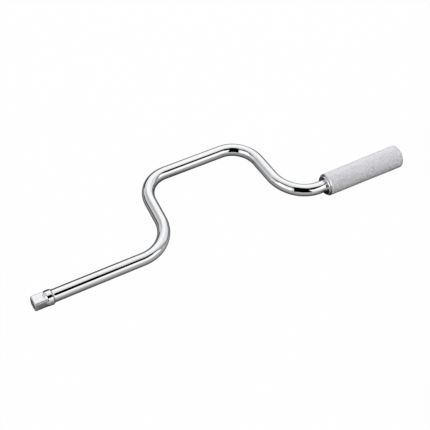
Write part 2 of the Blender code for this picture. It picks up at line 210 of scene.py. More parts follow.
def bar_rings():
    """Every ring of the bar from tip to spindle end, as (centre, heading, radii)."""
    angles = spread(0, math.tau, BAR_SIDES)
    rings = []
    for along in spread(0, TIP_EDGE, TIP_EDGE_RINGS):
        inset = TIP_EDGE - math.sqrt(TIP_EDGE**2 - (TIP_EDGE - along) ** 2)
        radii = [drive_radius(along, angle) - inset for angle in angles]
        rings.append((Vector((along, 0, 0)), 0.0, radii))
    stations = []
    start = TIP_EDGE
    for _, end, count in HEAD_STRETCHES:
        stations += spread(start, end, count)
        start = end
    stations.append(HEAD_END)
    for along in stations:
        radii = [head_radius(along, angle) for angle in angles]
        rings.append((Vector((along, 0, 0)), 0.0, radii))
    for centre, heading in bar_route():
        rings.append((centre, heading, [BAR_RADIUS] * len(angles)))
    spindle = [
        (SHOULDER, BAR_RADIUS - SHOULDER_CHAMFER),
        (SHOULDER, SPINDLE_RADIUS + SPINDLE_FILLET),
        (SHOULDER + SPINDLE_FILLET, SPINDLE_RADIUS),
        (GROOVE_FRONT, SPINDLE_RADIUS),
        (GROOVE_FRONT, SPINDLE_RADIUS - GROOVE_DEPTH),
        (GROOVE_REAR, SPINDLE_RADIUS - GROOVE_DEPTH),
        (GROOVE_REAR, SPINDLE_RADIUS),
        (SPINDLE_END - SPINDLE_CHAMFER, SPINDLE_RADIUS),
        (SPINDLE_END, SPINDLE_RADIUS - SPINDLE_CHAMFER),
    ]
    rings += [(Vector((along, 0, 0)), 0.0, [radius] * len(angles)) for along, radius in spindle]
    return rings, angles


def mesh_piece(name, points, faces, sharp=SHARP_EDGE):
    """A new piece from points in millimetres, shaded smooth but for its sharp edges."""
    mesh = bpy.data.meshes.new(name)
    mesh.from_pydata([Vector(point) * MM for point in points], [], faces)
    mesh.validate()
    built = bmesh.new()
    built.from_mesh(mesh)
    bmesh.ops.recalc_face_normals(built, faces=built.faces)
    built.to_mesh(mesh)
    built.free()
    mesh.shade_smooth()
    mesh.set_sharp_from_angle(angle=sharp)
    piece = bpy.data.objects.new(name, mesh)
    bpy.context.scene.collection.objects.link(piece)
    return piece


def swept_bar(name):
    """The bar's rings joined into one skin. The flats and the tip take its second finish."""
    rings, angles = bar_rings()
    count = len(angles)
    points = []
    for centre, heading, radii in rings:
        left = Vector((-math.sin(heading), math.cos(heading), 0))
        for angle, radius in zip(angles, radii):
            across = math.cos(angle) * left + math.sin(angle) * Vector((0, 0, 1))
            points.append(centre + radius * across)
    faces = []
    milled = []
    for row in range(len(rings) - 1):
        for column in range(count):
            nearby = (column + 1) % count
            corners = [(row, column), (row, nearby), (row + 1, nearby), (row + 1, column)]
            faces.append([r * count + c for r, c in corners])
            off_flat = max(abs(rings[r][2][c] - square_radius(angles[c])) for r, c in corners)
            milled.append(off_flat < FLAT_TOLERANCE and rings[row + 1][0].x < COLLAR_FRONT)
    tip_centre = len(points)
    points += [Vector((0, 0, 0)), Vector((SPINDLE_END, 0, 0))]
    last = (len(rings) - 1) * count
    for column in range(count):
        nearby = (column + 1) % count
        faces.append([tip_centre, nearby, column])
        faces.append([tip_centre + 1, last + column, last + nearby])
        milled += [True, False]
    bar = mesh_piece(name, points, faces)
    bar.data.polygons.foreach_set("material_index", [int(flag) for flag in milled])
    return bar


def ring_faces(links, sides):
    """Faces that join rings of points, each ring to the one it is linked with."""
    faces = []
    for here, there in links:
        for side in range(sides):
            nearby = (side + 1) % sides
            corners = [(here, side), (here, nearby), (there, nearby), (there, side)]
            faces.append([ring * sides + corner for ring, corner in corners])
    return faces


def spun(profile, sides, closed):
    """Points and faces of a profile of (place along X, distance from X), spun about X."""
    points = []
    for along, radius in profile:
        for side in range(sides):
            angle = math.tau * side / sides
            points.append((along, radius * math.cos(angle), radius * math.sin(angle)))
    links = list(zip(range(len(profile)), range(1, len(profile))))
    if closed:
        links.append((len(profile) - 1, 0))
    faces = ring_faces(links, sides)
    if not closed:
        faces.append(list(range(sides)))
        faces.append([(len(profile) - 1) * sides + side for side in range(sides)])
    return points, faces


def drill(piece, profile, centre, sides):
    """Cuts a blind hole whose profile runs outwards along Y."""
    points, faces = spun(profile, sides, False)
    turned_points = [(-y, x, z) for x, y, z in points]
    cutter = mesh_piece(piece.name + "_drill", turned_points, faces)
    cutter.data.transform(Matrix.Translation(Vector(centre) * MM))
    cut = piece.modifiers.new("hole", "BOOLEAN")
    cut.operation = "DIFFERENCE"
    cut.solver = "EXACT"
    cut.object = cutter
    graph = bpy.context.evaluated_depsgraph_get()
    drilled = bpy.data.meshes.new_from_object(piece.evaluated_get(graph))
    piece.modifiers.clear()
    piece.data = drilled
    bpy.data.objects.remove(cutter)
    drilled.set_sharp_from_angle(angle=SHARP_EDGE)


class Wire:
    """One output socket of a node tree, which takes part in Python expressions."""

    def __init__(self, tree, socket):
        self.tree = tree
        self.socket = socket

    def node(self, kind, settings=None, inputs=None, output=0):
        """Adds a node: first its settings, then the values or links of its sockets."""
        made = self.tree.nodes.new(kind)
        for name, value in (settings or {}).items():
            setattr(made, name, value)
        for name, value in (inputs or {}).items():
            if isinstance(value, Wire):
                self.tree.links.new(value.socket, made.inputs[name])
            else:
                made.inputs[name].default_value = value
        return Wire(self.tree, made.outputs[output])

    def maths(self, operation, first, second=0.0, third=0.0, clamp=False):
        """One Math node on values or wires."""
        settings = {"operation": operation, "use_clamp": clamp}
        return self.node("ShaderNodeMath", settings, {0: first, 1: second, 2: third})

    def __add__(self, other):
        return self.maths("ADD", self, other)

    def __radd__(self, other):
        return self.maths("ADD", other, self)

    def __sub__(self, other):
        return self.maths("SUBTRACT", self, other)

    def __rsub__(self, other):
        return self.maths("SUBTRACT", other, self)

    def __mul__(self, other):
        return self.maths("MULTIPLY", self, other)

    def __rmul__(self, other):
        return self.maths("MULTIPLY", other, self)

    def __truediv__(self, other):
        return self.maths("DIVIDE", self, other)

    def __pow__(self, other):
        return self.maths("POWER", self, other)

    def between(self, low, high):
        """0 below low, 1 above high, and a smooth step in between."""
        settings = {"interpolation_type": "SMOOTHSTEP"}
        inputs = {"Value": self, "From Min": low, "From Max": high}
        return self.node("ShaderNodeMapRange", settings, inputs)

    def axis(self, letter):
        """One coordinate of a vector."""
        return self.node("ShaderNodeSeparateXYZ", inputs={"Vector": self}, output=letter)

    def scaled(self, x, y, z):
        """A vector with each coordinate multiplied."""
        return self.node("ShaderNodeVectorMath", {"operation": "MULTIPLY"}, {0: self, 1: (x, y, z)})

    def noise(self, scale, detail):
        """Soft random patches, from about 0.3 to 0.7."""
        inputs = {"Vector": self, "Scale": scale, "Detail": detail}
        return self.node("ShaderNodeTexNoise", None, inputs)

    def blend(self, first, second):
        """The first colour where this is 0 and the second where it is 1."""
        inputs = {0: self, 6: first, 7: second}
        return self.node("ShaderNodeMix", {"data_type": "RGBA"}, inputs, output=2)

    def feed(self, shader, name):
        """Links this to a socket of a shader."""
        self.tree.links.new(self.socket, shader.inputs[name])


def bare_metal(name):
    """A new metal finish: its material, its shader and the piece's own coordinates."""
    material = bpy.data.materials.new(name)
    material.use_nodes = True
    tree = material.node_tree
    shader = tree.nodes["Principled BSDF"]
    shader.inputs["Metallic"].default_value = 1.0
    spot = tree.nodes.new("ShaderNodeTexCoord")
    return material, shader, Wire(tree, spot.outputs["Object"])


def relief(wire, shader, distance, strength):
    """A height that only the light sees."""
    inputs = {"Height": wire, "Distance": distance, "Strength": strength}
    wire.node("ShaderNodeBump", None, inputs).feed(shader, "Normal")


def polished_chrome(name):
    """Bright plate over a belt-polished bar: faint clouds, fine rub marks and a few dull spots."""
    material, shader, spot = bare_metal(name)
    clouds = spot.noise(scale=38.0, detail=3.0)
    rub_marks = spot.scaled(160, 1400, 1400).noise(scale=1.0, detail=2.0)
    dull_spots = spot.noise(scale=420.0, detail=1.0).between(0.66, 0.76)
    tint = clouds.between(0.3, 0.7)
    tint.blend(*BAR_SHADES).feed(shader, "Base Color")
    gloss = 0.015 + 0.02 * clouds + 0.02 * rub_marks.between(0.45, 0.75) + 0.05 * dull_spots
    gloss.feed(shader, "Roughness")
    return material


def milled_chrome(name):
    """Thin plate over a milled flat, which stays satin."""
    material, shader, spot = bare_metal(name)
    grain = spot.scaled(300, 2600, 2600).noise(scale=1.0, detail=3.0)
    patches = spot.noise(scale=260.0, detail=2.0)
    tint = patches.between(0.3, 0.7)
    tint.blend(*FLAT_SHADES).feed(shader, "Base Color")
    (0.16 + 0.12 * grain + 0.06 * patches).feed(shader, "Roughness")
    relief(grain, shader, distance=0.00002, strength=0.25)
    return material


crank_bar = swept_bar("crank_bar_polished")
crank_bar.data.materials.append(polished_chrome("polished_chrome"))
crank_bar.data.materials.append(milled_chrome("milled_chrome"))
detent_profile = [
    (DETENT_FLOOR, DETENT_RADIUS),
    (UNDER_LIP, DETENT_RADIUS),
    (UNDER_LIP, MOUTH_RADIUS),
    (DRILL_REACH, MOUTH_RADIUS),
]
drill(crank_bar, detent_profile, (DETENT_FROM_TIP, 0, 0), DETENT_SIDES)
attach(crank_bar, "crank")
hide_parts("crank_bar")

# Detent spring: a short coil of blackened spring wire at the foot of the drive's hole.
# It is wound on a mandrel and is built at the length of its solid, though the ball presses it
# shorter as it goes in.
SPRING_LOW, SPRING_HIGH = span("detent_spring")
SPRING_WIRE = 0.5
SPRING_TURNS = 5
SPRING_STEPS = 32
WIRE_SIDES = 14
WIRE_SHADES = ((0.16, 0.16, 0.18, 1), (0.34, 0.34, 0.36, 1))


def wound_spring(name):
    """Rings of the wire carried around the hole's axis and up it, with a flat cut at each end."""
    coil_radius = (SPRING_HIGH.x - SPRING_LOW.x - SPRING_WIRE) / 2
    climb = SPRING_HIGH.y - SPRING_LOW.y - SPRING_WIRE
    count = SPRING_TURNS * SPRING_STEPS
    points = []
    for step in range(count + 1):
        turn = math.tau * step / SPRING_STEPS
        outward = Vector((math.cos(turn), 0, math.sin(turn)))
        height = SPRING_LOW.y + SPRING_WIRE / 2 + climb * step / count
        centre = Vector((DETENT_FROM_TIP, height, 0)) + coil_radius * outward
        for side in range(WIRE_SIDES):
            angle = math.tau * side / WIRE_SIDES
            across = math.cos(angle) * outward + math.sin(angle) * Vector((0, 1, 0))
            points.append(centre + SPRING_WIRE / 2 * across)
    faces = ring_faces(list(zip(range(count), range(1, count + 1))), WIRE_SIDES)
    faces.append(list(range(WIRE_SIDES)))
    faces.append([count * WIRE_SIDES + side for side in range(WIRE_SIDES)])
    return mesh_piece(name, points, faces)


def spring_steel(name):
    """Blackened wire, scuffed brighter on its high spots."""
    material, shader, spot = bare_metal(name)
    scuffs = spot.noise(scale=900.0, detail=3.0).between(0.5, 0.7)
    scuffs.blend(*WIRE_SHADES).feed(shader, "Base Color")
    (0.42 - 0.14 * scuffs).feed(shader, "Roughness")
    return material


blackened_wire = spring_steel("blackened_wire")
spring = wound_spring("detent_spring_wound")
spring.data.materials.append(blackened_wire)
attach(spring, "crank")
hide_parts("detent_spring")
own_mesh(spring)

# Detent ball: a hard bearing ball that holds a socket on the drive.
# It is ground and lapped, and the staked rim of the hole keeps it in.
BALL_RADIUS = 2.38
BALL_CENTRE = 4.97
BALL_STEPS = 32
BALL_SIDES = 48
BALL_SHADES = ((0.62, 0.63, 0.65, 1), (0.70, 0.71, 0.72, 1))


def lapped_steel(name):
    """Hard steel with the criss-cross of lapping in its gloss."""
    material, shader, spot = bare_metal(name)
    lapping = spot.scaled(900, 3200, 900).noise(scale=1.0, detail=2.0)
    wear = spot.noise(scale=700.0, detail=2.0).between(0.4, 0.7)
    wear.blend(*BALL_SHADES).feed(shader, "Base Color")
    (0.10 + 0.12 * lapping).feed(shader, "Roughness")
    return material


ball_arc = [math.pi * step / BALL_STEPS for step in range(1, BALL_STEPS)]
ball_profile = [(-BALL_RADIUS * math.cos(a), BALL_RADIUS * math.sin(a)) for a in ball_arc]
ball_points, ball_faces = spun(ball_profile, BALL_SIDES, False)
ball = mesh_piece("detent_ball_lapped", ball_points, ball_faces)
ball.data.transform(Matrix.Translation(Vector((DETENT_FROM_TIP, BALL_CENTRE, 0)) * MM))
ball.data.materials.append(lapped_steel("lapped_steel"))
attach(ball, "detent")
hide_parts("detent_ball")

# Front bush: a turned steel bush, chrome plated, pressed into the front of the sleeve.
# Its bevelled flange is the bright ring around the bar, with a narrow groove behind it.
FLANGE_FRONT = span("front_bush")[0].x
FLANGE_RADIUS = span("front_bush")[1].z
BEVEL_CURVE = 10.0
BEVEL_SLOPES = (44, 52)
BEVEL_STEPS = 6
FLANGE_ROUND = 0.2
FLANGE_THICKNESS = 1.25
FLANGE_REAR = FLANGE_FRONT + FLANGE_THICKNESS
RELIEF_LENGTH = 0.75
RELIEF_REAR = FLANGE_REAR + RELIEF_LENGTH
RELIEF_RADIUS = 10.2
BUSH_BODY = 9.9
BUSH_BORE = 7.3
BORE_EDGE = 0.2
BUSH_CHAMFER = 0.8
BUSH_REAR = span("front_bush")[1].x
BUSH_SIDES = 128
BUSH_SHADES = ((0.82, 0.83, 0.85, 1), (0.87, 0.875, 0.89, 1))


def crowned_bevel(front, radius):
    """Profile of a bevel from a flat face out to a radius, crowned to a large curve."""
    flat, steep = BEVEL_SLOPES
    profile = []
    for step in range(BEVEL_STEPS + 1):
        slope = math.radians(flat + (steep - flat) * step / BEVEL_STEPS)
        back = BEVEL_CURVE * (math.cos(math.radians(flat)) - math.cos(slope))
        inwards = BEVEL_CURVE * (math.sin(math.radians(steep)) - math.sin(slope))
        profile.append((front + back, radius - inwards))
    return profile


def turned_chrome(name):
    """Bright plate over fine turning rings that run around the axis."""
    material, shader, spot = bare_metal(name)
    rings = spot.scaled(2600, 90, 90).noise(scale=1.0, detail=2.0)
    clouds = spot.noise(scale=120.0, detail=2.0)
    tint = clouds.between(0.3, 0.7)
    tint.blend(*BUSH_SHADES).feed(shader, "Base Color")
    (0.05 + 0.08 * rings + 0.03 * clouds).feed(shader, "Roughness")
    return material


bush_profile = [
    (FLANGE_FRONT, BUSH_BORE + BORE_EDGE),
    *crowned_bevel(FLANGE_FRONT, FLANGE_RADIUS - FLANGE_ROUND),
    (FLANGE_REAR - FLANGE_ROUND / 2, FLANGE_RADIUS),
    (FLANGE_REAR, FLANGE_RADIUS - FLANGE_ROUND / 2),
    (FLANGE_REAR, RELIEF_RADIUS),
    (RELIEF_REAR, RELIEF_RADIUS),
    (RELIEF_REAR, BUSH_BODY),
    (BUSH_REAR - BUSH_CHAMFER, BUSH_BODY),
    (BUSH_REAR, BUSH_BODY - BUSH_CHAMFER),
    (BUSH_REAR, BUSH_BORE),
    (FLANGE_FRONT + BORE_EDGE, BUSH_BORE),
]
bush_points, bush_faces = spun(bush_profile, BUSH_SIDES, True)
front_bush = mesh_piece("front_bush_turned", bush_points, bush_faces)
bush_chrome = turned_chrome("turned_chrome")
front_bush.data.materials.append(bush_chrome)
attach(front_bush, "grip")
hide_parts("front_bush")

# Grip sleeve: a steel tube with a fine diamond knurl rolled all over its outside.
# Its front is chamfered and its rear rounded over, and it is plated satin after that.
SLEEVE_FRONT = span("grip_sleeve")[0].x
SLEEVE_REAR = span("grip_sleeve")[1].x
SLEEVE_REAR_RADIUS = span("grip_sleeve")[1].z
SLEEVE_TAPER = 0.6
SLEEVE_BORE = 10.2
SLEEVE_CHAMFER = 0.8
SLEEVE_ROUND = 1.6
KNURL_START = SLEEVE_FRONT + SLEEVE_CHAMFER
KNURL_END = SLEEVE_REAR - SLEEVE_ROUND
KNURL_COUNT = 46
KNURL_ROWS = 60
KNURL_DEPTH = 0.16
KNURL_LAND = 0.5
KNURL_EDGE = math.radians(12)
KNURL_SHADES = ((0.92, 0.92, 0.965, 1), (0.96, 0.96, 1.0, 1))
SLEEVE_SLOPE = SLEEVE_TAPER / (KNURL_END - KNURL_START)
ROUND_STEPS = 12


def sleeve_radius(along):
    """Outside of the sleeve, which grows evenly towards the rear."""
    return SLEEVE_REAR_RADIUS - SLEEVE_SLOPE * (KNURL_END - along)


def round_edge(along, radius, rounding):
    """Profile of a rounded rear edge, from the outside round to the end face."""
    arc = [math.pi / 2 * step / ROUND_STEPS for step in range(ROUND_STEPS + 1)]
    return [
        (along - rounding * (1 - math.sin(turn)), radius - rounding * (1 - math.cos(turn)))
        for turn in arc
    ]


def knurled_sleeve(name):
    """The tube, its outside made of flat-topped diamonds between two sets of helical grooves."""
    pitch = (KNURL_END - KNURL_START) / KNURL_ROWS
    half_turn = math.pi / KNURL_COUNT
    points = []
    faces = []

    def point(along, steps, radius):
        angle = steps * half_turn
        points.append((along, radius * math.cos(angle), radius * math.sin(angle)))
        return len(points) - 1

    crossings = {}
    for row in range(KNURL_ROWS + 1):
        # The first and the last row lean outwards, so that the grooves run out into the edges.
        lean = {0: -KNURL_DEPTH, KNURL_ROWS: KNURL_DEPTH}.get(row, 0.0)
        for step in range(row % 2, 2 * KNURL_COUNT, 2):
            along = KNURL_START + row * pitch
            crossings[row, step] = point(along + lean, step, sleeve_radius(along) - KNURL_DEPTH)
    rims = {0: [], KNURL_ROWS: []}
    for row in range(KNURL_ROWS + 1):
        along = KNURL_START + row * pitch
        crest = sleeve_radius(along)
        for step in range(1 - row % 2, 2 * KNURL_COUNT, 2):
            before = crossings[row, (step - 1) % (2 * KNURL_COUNT)]
            after = crossings[row, (step + 1) % (2 * KNURL_COUNT)]
            land_before = point(along, step - KNURL_LAND, crest)
            land_after = point(along, step + KNURL_LAND, crest)
            land = [land_before, land_after]
            if row > 0:
                front = crossings[row - 1, step]
                land_front = point(along - KNURL_LAND * pitch, step, crest)
                faces.append([before, front, land_front, land_before])
                faces.append([front, after, land_after, land_front])
                land.insert(1, land_front)
            if row < KNURL_ROWS:
                rear = crossings[row + 1, step]
                land_rear = point(along + KNURL_LAND * pitch, step, crest)
                faces.append([after, rear, land_rear, land_after])
                faces.append([rear, before, land_before, land_rear])
                land.append(land_rear)
            faces.append(land)
            if row in rims:
                rims[row] += [before, land_before, land_after]

    knurled_faces = len(faces)

    def bridge(ring, other):
        for column in range(len(ring)):
            nearby = (column + 1) % len(ring)
            faces.append([ring[column], ring[nearby], other[nearby], other[column]])

    front_edge = [
        (SLEEVE_FRONT, sleeve_radius(KNURL_START) - SLEEVE_CHAMFER),
        (SLEEVE_FRONT, SLEEVE_BORE),
    ]
    rear_edge = round_edge(SLEEVE_REAR, SLEEVE_REAR_RADIUS, SLEEVE_ROUND)[1:]
    rear_edge.append((SLEEVE_REAR, SLEEVE_BORE))
    bores = []
    for row, edge in ((0, front_edge), (KNURL_ROWS, rear_edge)):
        ring = rims[row]
        turns = [math.atan2(points[index][2], points[index][1]) / half_turn for index in ring]
        for along, radius in edge:
            further = [point(along, turn, radius) for turn in turns]
            bridge(ring, further)
            ring = further
        bores.append(ring)
    bridge(*bores)
    tube = mesh_piece(name, points, faces, KNURL_EDGE)
    turned = [int(index >= knurled_faces) for index in range(len(faces))]
    tube.data.polygons.foreach_set("material_index", turned)
    return tube


def from_axis(spot):
    """How far a place is from the axis of the grip."""
    across = spot.axis("Y")
    upright = spot.axis("Z")
    return (across * across + upright * upright) ** 0.5


def knurled_chrome(name):
    """Satin plate whose lands are rubbed smoother than its grooves, with the grooves painted a
    little darker as painted shade.
    """
    material, shader, spot = bare_metal(name)
    untapered = from_axis(spot) - SLEEVE_SLOPE * spot.axis("X")
    crest = sleeve_radius(0)
    land = untapered.between((crest - KNURL_DEPTH) * MM, crest * MM)
    patches = spot.noise(scale=90.0, detail=3.0).between(0.3, 0.7)
    land_wear_and_groove_shade = land * (0.6 + 0.4 * patches)
    # Painted shade: the grooves take the darker knurl colour and the lands the lighter one; the
    # lands' wear only changes the roughness.
    land_wear_and_groove_shade.blend(*KNURL_SHADES).feed(shader, "Base Color")
    grain = spot.noise(scale=2600.0, detail=2.0)
    (0.51 - 0.06 * land_wear_and_groove_shade + 0.08 * grain).feed(shader, "Roughness")
    return material


sleeve = knurled_sleeve("grip_sleeve_knurled")
sleeve.data.materials.append(knurled_chrome("knurled_chrome"))
sleeve.data.materials.append(bush_chrome)
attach(sleeve, "grip")
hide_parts("grip_sleeve")

# Rear bush and thrust washers: the bearings that the grip turns on, hidden in the sleeve.
# The bush is sintered bronze, soaked in oil, and the washers are ground steel.
BRONZE_SHADES = ((0.36, 0.24, 0.11, 1), (0.66, 0.45, 0.22, 1))
WASHER_SHADES = ((0.56, 0.57, 0.59, 1), (0.68, 0.69, 0.71, 1))


def dress(node, material):
    """Puts a finish on a solid that stays as it is."""
    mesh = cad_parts[node].data
    mesh.materials.clear()
    mesh.materials.append(material)


def bearing_bronze(name):
    """Sintered bronze with fine open pores and darker oil stains."""
    material, shader, spot = bare_metal(name)
    pores = spot.noise(scale=3200.0, detail=1.0).between(0.58, 0.66)
    stains = spot.noise(scale=240.0, detail=2.0).between(0.35, 0.65)
    shade = stains * (1 - 0.6 * pores)
    shade.blend(*BRONZE_SHADES).feed(shader, "Base Color")
    (0.36 + 0.16 * pores).feed(shader, "Roughness")
    return material


def ground_steel(name):
    """Surface-ground washers with a straight grain."""
    material, shader, spot = bare_metal(name)
    grain = spot.scaled(400, 3600, 400).noise(scale=1.0, detail=2.0)
    tint = grain.between(0.3, 0.7)
    tint.blend(*WASHER_SHADES).feed(shader, "Base Color")
    (0.20 + 0.16 * grain).feed(shader, "Roughness")
    return material


dress("rear_bush", bearing_bronze("bearing_bronze"))
washer_steel = ground_steel("washer_steel")
dress("shoulder_washer", washer_steel)
dress("end_washer", washer_steel)

# Retaining ring: a stamped C of spring steel, sprung into the groove of the spindle.
# It is blackened like the wire of the detent spring.
dress("retaining_ring", blackened_wire)

# End cap: a drawn steel cup, chrome plated, pressed into the rear of the sleeve.
# Only its round-edged rim and its flat end show.
CAP_FRONT = span("end_cap")[0].x
CAP_END = span("end_cap")[1].x
CAP_RIM = span("end_cap")[1].z
CAP_THICKNESS = 0.9
CAP_SEAT = CAP_END - CAP_THICKNESS
CAP_ROUND = 0.6
CAP_PLUG = 9.9
CAP_WALL = 1.6
CAP_SIDES = 128
CAP_SHADES = ((0.81, 0.82, 0.84, 1), (0.87, 0.875, 0.89, 1))


def drawn_chrome(name):
    """Bright plate over a turned face: rings about the centre and faint hand marks."""
    material, shader, spot = bare_metal(name)
    inputs = {"W": from_axis(spot), "Scale": 2600.0}
    rings = spot.node("ShaderNodeTexNoise", {"noise_dimensions": "1D"}, inputs)
    marks = spot.noise(scale=170.0, detail=3.0)
    tint = marks.between(0.3, 0.7)
    tint.blend(*CAP_SHADES).feed(shader, "Base Color")
    (0.07 + 0.12 * rings + 0.05 * marks).feed(shader, "Roughness")
    return material


cap_profile = [
    (CAP_SEAT, CAP_PLUG - CAP_WALL),
    (CAP_FRONT, CAP_PLUG - CAP_WALL),
    (CAP_FRONT, CAP_PLUG),
    (CAP_SEAT, CAP_PLUG),
    (CAP_SEAT, CAP_RIM),
    *round_edge(CAP_END, CAP_RIM, CAP_ROUND),
]
cap_points, cap_faces = spun(cap_profile, CAP_SIDES, False)
end_cap = mesh_piece("end_cap_drawn", cap_points, cap_faces)
end_cap.data.materials.append(drawn_chrome("drawn_chrome"))
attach(end_cap, "grip")
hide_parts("end_cap")

# Floor: a wide sheet of plain white card that the brace lies on.
# It is tilted a little, so that the brace rests on its collar, its sleeve and its crank.
FLOOR_WHITE = 0.98
CARD_COLOUR = (0.9, 0.9, 0.9, 1)
WHITE = (1, 1, 1, 1)
FLOOR_REACH = 3500
CRANK_THROW = span("crank_bar")[1].y - BAR_RADIUS
FLOOR_RISE_X = (COLLAR_RADIUS - sleeve_radius(KNURL_START)) / (KNURL_START - COLLAR_REAR)
FLOOR_HEIGHT = -COLLAR_RADIUS - FLOOR_RISE_X * COLLAR_REAR
crank_places = [place for place, heading in bar_route() if place.y > CRANK_THROW / 2]
under_crank = [-BAR_RADIUS - FLOOR_HEIGHT - FLOOR_RISE_X * place.x for place in crank_places]
FLOOR_RISE_Y = min(room / place.y for room, place in zip(under_crank, crank_places))


def floor_point(x, y, above=0.0):
    """A point of the floor, in millimetres."""
    return (x, y, FLOOR_HEIGHT + FLOOR_RISE_X * x + FLOOR_RISE_Y * y + above)


def bare_stage(name):
    """A new finish for the stage: its material, its output, and 1 where the camera looks at it."""
    material = bpy.data.materials.new(name)
    material.use_nodes = True
    tree = material.node_tree
    tree.nodes.clear()
    output = tree.nodes.new("ShaderNodeOutputMaterial")
    path = tree.nodes.new("ShaderNodeLightPath")
    return material, output, Wire(tree, path.outputs["Is Camera Ray"])


def seen_as_backdrop(camera_ray):
    """1 for what the camera sees, also in a mirror or through glass, and 0 for plain light."""
    outputs = camera_ray.socket.node.outputs
    glossy = Wire(camera_ray.tree, outputs["Is Glossy Ray"])
    through = Wire(camera_ray.tree, outputs["Is Transmission Ray"])
    return camera_ray.maths("ADD", camera_ray + glossy, through, clamp=True)


def white_card(name):
    """White card that reads as the backdrop and still takes the soft shadow of the brace."""
    material, output, camera_ray = bare_stage(name)
    seen = seen_as_backdrop(camera_ray)
    paper = seen.node("ShaderNodeBsdfDiffuse", None, {"Color": CARD_COLOUR})
    backdrop = seen.node("ShaderNodeEmission", None, {"Color": WHITE, "Strength": 1.0})
    mixed = seen.node("ShaderNodeMixShader", None, {0: FLOOR_WHITE * seen, 1: paper, 2: backdrop})
    mixed.feed(output, "Surface")
    return material


floor_corners = [(-1, -1), (1, -1), (1, 1), (-1, 1)]
floor_points = [floor_point(FLOOR_REACH * x, FLOOR_REACH * y) for x, y in floor_corners]
floor = mesh_piece("floor", floor_points, [[0, 1, 2, 3]])
floor.data.materials.append(white_card("white_card"))

# Under sheet: a grey sheet on the floor that only the chrome sees.
# It is darkest close to the metal, as a floor is in the shade of what lies on it.
SHEET_REACH = (330, 200)
SHEET_SPREAD = (1100, 1000)
SHEET_CENTRE = (230, 45)
SHEET_LIFT = 0.3
SHEET_GRID = (240, 200)
SHEET_EASING = 5
SHEET_TINT = (1, 0.985, 0.965, 1)
BLACK = (0, 0, 0, 1)
HEAD_STEPS = 13
GRIP_STEPS = 20
FINE_STEPS = 6
CONTACT_SHADE = 0.02
NEAR_SHADE = 0.36
NEAR_FALL = 14.0
SLEEVE_FALL = 60.0
FAR_SHADE = 0.12
FAR_FALL = 70.0
LOOKING = Vector((0.6, 0.8))
BEHIND_SHADE = 0.7
# From here on, a pair is where a shade begins to change and where it ends, in millimetres.
BEHIND_SHANK_EDGE = (125, 160)
BEHIND_SHANK_DEPTH = (32, 60)
BEHIND_SHANK_SHADE = 0.85
BACK_LEFT_EDGE = (185, 215)
BACK_LEFT_START = (2, 14)
BACK_LEFT_FAR = (28, 64)
BACK_LEFT_SHADE = 0.95
HEAD_SHADE = 0.2
HEAD_EDGE = (30, 110)
GAP_SHADE = 0.6
GAP_START = (10, 32)
GAP_EDGE = (195, 245)
RING_SHADE = 0.55
RING_REACH = (14, 34)


def chrome_only(piece):
    """A studio sheet that shows in metal and nowhere else."""
    piece.visible_camera = False
    piece.visible_diffuse = False
    piece.visible_transmission = False
    piece.visible_volume_scatter = False
    piece.visible_shadow = False


def grid_faces(columns, rows):
    """Faces of a grid of points, row after row."""
    corners = [row * (columns + 1) + column for row in range(rows) for column in range(columns)]
    return [[corner, corner + 1, corner + columns + 2, corner + columns + 1] for corner in corners]


def ramp(value, low, high):
    """0 below low, 1 above high and a straight slope in between."""
    return min(max((value - low) / (high - low), 0.0), 1.0)


def bar_middle():
    """The middle of the whole brace as closely spaced places, for finding the nearest one."""
    middle = [Vector((along, 0, 0)) for along in spread(0, HEAD_END, HEAD_STEPS)]
    middle += [centre for centre, heading in bar_route()]
    middle += [Vector((along, 0, 0)) for along in spread(SHOULDER, CAP_END, GRIP_STEPS)]
    shares = spread(0, 1, FINE_STEPS)
    dense = [start.lerp(end, share) for start, end in zip(middle, middle[1:]) for share in shares]
    nearest = KDTree(len(dense))
    for index, place in enumerate(dense):
        nearest.insert((place.x, place.y, 0), index)
    nearest.balance()
    return nearest


def sheet_shade(x, y, place, distance):
    """How light the sheet is at x and y, where place is the nearest one of the bar's middle."""
    by_sleeve = place.x > SLEEVE_FRONT
    outside = sleeve_radius(place.x) if by_sleeve else BAR_RADIUS
    away = max(distance - (outside if x > 0 else 0.0), 0.0)
    fall = SLEEVE_FALL if by_sleeve else NEAR_FALL
    near = NEAR_SHADE * (1 - math.exp(-away / fall))
    shade = CONTACT_SHADE + near + FAR_SHADE * (1 - math.exp(-away / FAR_FALL))
    if away > 0 and not by_sleeve:
        behind_bar = LOOKING.dot((x - place.x, y - place.y)) / distance
        shade *= 1 - BEHIND_SHADE * max(behind_bar, 0.0)
    behind = ramp(y, *BACK_LEFT_START)
    shank_depth = 1 - ramp(y, *BEHIND_SHANK_DEPTH)
    behind_shank = behind * shank_depth * (1 - ramp(x, *BEHIND_SHANK_EDGE))
    back_left = behind * (1 - ramp(x, *BACK_LEFT_EDGE)) * ramp(away, *BACK_LEFT_FAR)
    shade *= 1 - max(BEHIND_SHANK_SHADE * behind_shank, BACK_LEFT_SHADE * back_left)
    if x > COLLAR_FRONT:
        shade *= 1 - HEAD_SHADE * (1 - ramp(x, *HEAD_EDGE))
    if place.x < x < GAP_EDGE[1] and y < CRANK_THROW:
        shade *= 1 - GAP_SHADE * ramp(y, *GAP_START) * (1 - ramp(x, *GAP_EDGE))
    from_ring = math.hypot(x - FLANGE_FRONT, y)
    return shade * (1 - RING_SHADE * (1 - ramp(from_ring, *RING_REACH)))


